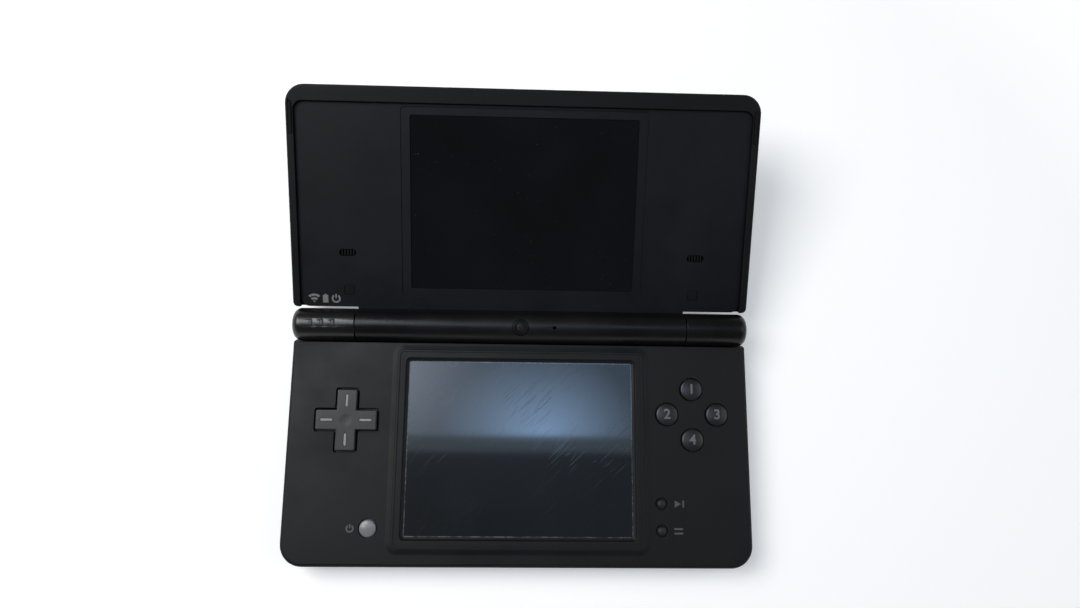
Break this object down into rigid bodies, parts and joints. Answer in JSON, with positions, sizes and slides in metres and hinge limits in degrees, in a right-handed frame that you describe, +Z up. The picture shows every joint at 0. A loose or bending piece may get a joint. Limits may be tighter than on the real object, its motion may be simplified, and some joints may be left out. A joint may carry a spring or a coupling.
{
  "type": "clamshell handheld game console",
  "caption": "Folding handheld console: a base with keys, direction pad and touch screen, a lid with a second screen on a friction hinge, shoulder keys, stylus and card slots.",
  "frame": {"origin": "centre of the base half's footprint, on the plane that its feet stand on", "axes": "+X to the player's right, +Y towards the hinge side, +Z up; the lid is open on its stop"},
  "size_m": [0.1375, 0.137, 0.0371],
  "materials": {
    "shell_plastic": "fine matte texture, charcoal black",
    "face_plastic": "fine matte texture, charcoal",
    "key_plastic": "satin black",
    "power_key_plastic": "satin pale grey",
    "rubber": "soft matte",
    "membrane_rubber": "silicone",
    "steel": "plated",
    "dark_screw_steel": "blackened",
    "display_glass": "black glass module",
    "window_glass": "smoked clear window over a dark picture area",
    "touch_film": "blue-grey coated film",
    "circuit_board": "solder mask",
    "battery_wrap": "plastic wrap",
    "inner_plastic": "moulded",
    "light_guide": "frosted clear",
    "lens_glass": "coated lens",
    "ribbon": "polyimide"
  },
  "bodies": {
    "base": {"base_lower_case": "shell_plastic", "base_face_plate": "face_plastic", "battery_cover": "shell_plastic", "battery_cover_screws": "dark_screw_steel", "battery_pack": "battery_wrap", "rubber_feet": "rubber", "case_screws": "dark_screw_steel", "main_board": "circuit_board", "processor_shield": "steel", "game_card_reader": "steel", "memory_card_socket": "steel", "wireless_module": "circuit_board", "headphone_jack": "inner_plastic", "power_socket": "inner_plastic", "lower_display": "display_glass", "touch_panel": "touch_film", "dpad_membrane": "membrane_rubber", "face_button_membrane": "membrane_rubber", "tactile_switches": "steel", "left_hinge_housing": "shell_plastic", "right_hinge_housing": "shell_plastic", "indicator_lenses": "light_guide", "hinge_bush": "steel", "shoulder_pins": "steel", "shoulder_springs": "steel"},
    "lid": {"lid_outer_shell": "shell_plastic", "lid_inner_bezel": "face_plastic", "lid_hinge_barrel": "shell_plastic", "upper_display": "display_glass", "upper_screen_window": "window_glass", "inner_camera": "lens_glass", "outer_camera": "lens_glass", "outer_camera_ring": "steel", "outer_camera_lamp": "lens_glass", "speakers": "inner_plastic", "microphone": "steel", "lid_screws": "dark_screw_steel", "lid_screw_plugs": "rubber", "lid_bumpers": "rubber", "lid_magnet": "steel", "hinge_clutch": "steel", "display_flex_cable": "ribbon"},
    "dpad_pivot": {"dpad_pivot": "membrane_rubber"},
    "direction_pad": {"dpad": "key_plastic"},
    "top_face_key": {"top_face_button": "key_plastic"},
    "left_face_key": {"left_face_button": "key_plastic"},
    "right_face_key": {"right_face_button": "key_plastic"},
    "bottom_face_key": {"bottom_face_button": "key_plastic"},
    "start_key": {"start_button": "key_plastic"},
    "select_key": {"select_button": "key_plastic"},
    "power_key": {"power_button": "power_key_plastic"},
    "left_shoulder": {"left_shoulder_button": "key_plastic"},
    "right_shoulder": {"right_shoulder_button": "key_plastic"},
    "volume_up_key": {"volume_up_button": "key_plastic"},
    "volume_down_key": {"volume_down_button": "key_plastic"},
    "stylus": {"stylus": "key_plastic"},
    "memory_card_door": {"memory_card_door": "shell_plastic"}
  },
  "joints": [
    {"name": "lid_hinge", "type": "hinge", "parent": "base", "child": "lid", "pos_m": [0, 0.03255, 0.0107], "axis": [1, 0, 0], "range_deg": [0, 157.5]},
    {"name": "direction_pad_pitch", "type": "hinge", "parent": "base", "child": "dpad_pivot", "pos_m": [-0.0512, 0.00415, 0.00835], "axis": [1, 0, 0], "range_deg": [-3, 3], "stiffness_Nm_per_rad": 0.15},
    {"name": "direction_pad_roll", "type": "hinge", "parent": "dpad_pivot", "child": "direction_pad", "pos_m": [-0.0512, 0.00415, 0.00835], "axis": [0, 1, 0], "range_deg": [-3, 3], "stiffness_Nm_per_rad": 0.15},
    {"name": "top_face_key_press", "type": "slide", "parent": "base", "child": "top_face_key", "axis": [0, 0, -1], "range_m": [0, 0.0007], "stiffness_N_per_m": 900},
    {"name": "left_face_key_press", "type": "slide", "parent": "base", "child": "left_face_key", "axis": [0, 0, -1], "range_m": [0, 0.0007], "stiffness_N_per_m": 900},
    {"name": "right_face_key_press", "type": "slide", "parent": "base", "child": "right_face_key", "axis": [0, 0, -1], "range_m": [0, 0.0007], "stiffness_N_per_m": 900},
    {"name": "bottom_face_key_press", "type": "slide", "parent": "base", "child": "bottom_face_key", "axis": [0, 0, -1], "range_m": [0, 0.0007], "stiffness_N_per_m": 900},
    {"name": "start_key_press", "type": "slide", "parent": "base", "child": "start_key", "axis": [0, 0, -1], "range_m": [0, 0.0005], "stiffness_N_per_m": 1500},
    {"name": "select_key_press", "type": "slide", "parent": "base", "child": "select_key", "axis": [0, 0, -1], "range_m": [0, 0.0005], "stiffness_N_per_m": 1500},
    {"name": "power_key_press", "type": "slide", "parent": "base", "child": "power_key", "axis": [0, 0, -1], "range_m": [0, 0.0005], "stiffness_N_per_m": 1500},
    {"name": "left_shoulder_press", "type": "hinge", "parent": "base", "child": "left_shoulder", "pos_m": [-0.05255, 0.03385, 0.003], "axis": [0, 0, 1], "range_deg": [0, 3.5], "stiffness_Nm_per_rad": 0.45},
    {"name": "right_shoulder_press", "type": "hinge", "parent": "base", "child": "right_shoulder", "pos_m": [0.05255, 0.03385, 0.003], "axis": [0, 0, -1], "range_deg": [0, 3.5], "stiffness_Nm_per_rad": 0.45},
    {"name": "volume_up_key_press", "type": "slide", "parent": "base", "child": "volume_up_key", "axis": [1, 0, 0], "range_m": [0, 0.0004], "stiffness_N_per_m": 1500},
    {"name": "volume_down_key_press", "type": "slide", "parent": "base", "child": "volume_down_key", "axis": [1, 0, 0], "range_m": [0, 0.0004], "stiffness_N_per_m": 1500},
    {"name": "stylus_pull", "type": "slide", "parent": "base", "child": "stylus", "axis": [1, 0, 0], "range_m": [0, 0.0915]},
    {"name": "memory_card_door_swing", "type": "hinge", "parent": "base", "child": "memory_card_door", "pos_m": [0.06785, -0.01705, 0.0046], "axis": [0, 0, -1], "range_deg": [0, 95]}
  ]
}
